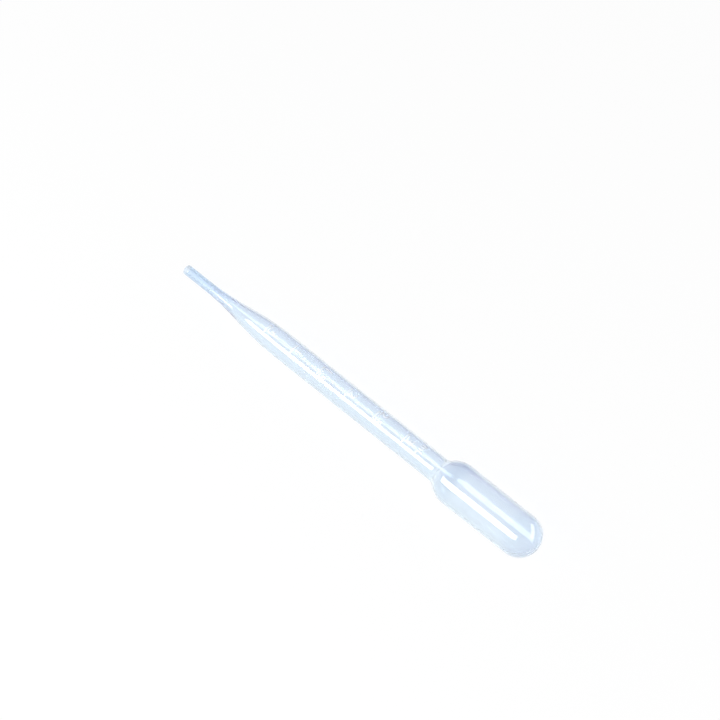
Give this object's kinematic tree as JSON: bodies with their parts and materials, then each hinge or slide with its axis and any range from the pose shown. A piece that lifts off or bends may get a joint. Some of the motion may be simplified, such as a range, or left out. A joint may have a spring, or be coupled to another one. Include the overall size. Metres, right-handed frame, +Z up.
{
  "type": "plastic dropper pipette",
  "caption": "One-piece squeeze pipette of soft translucent plastic: hollow domed bulb, straight stem with raised scale marks, long taper and slender open tip.",
  "frame": {"origin": "middle of the pipette's box as it lies at rest, on the surface it lies on", "axes": "+X from the open tip to the bulb, +Z up; the scale faces up and 10 degrees towards -Y"},
  "size_m": [0.155, 0.0136, 0.0143],
  "materials": {
    "polyethylene": "soft low-density polyethylene, milky translucent, smooth satin gloss"
  },
  "bodies": {
    "root": {"pipette": "polyethylene"}
  },
  "joints": []
}
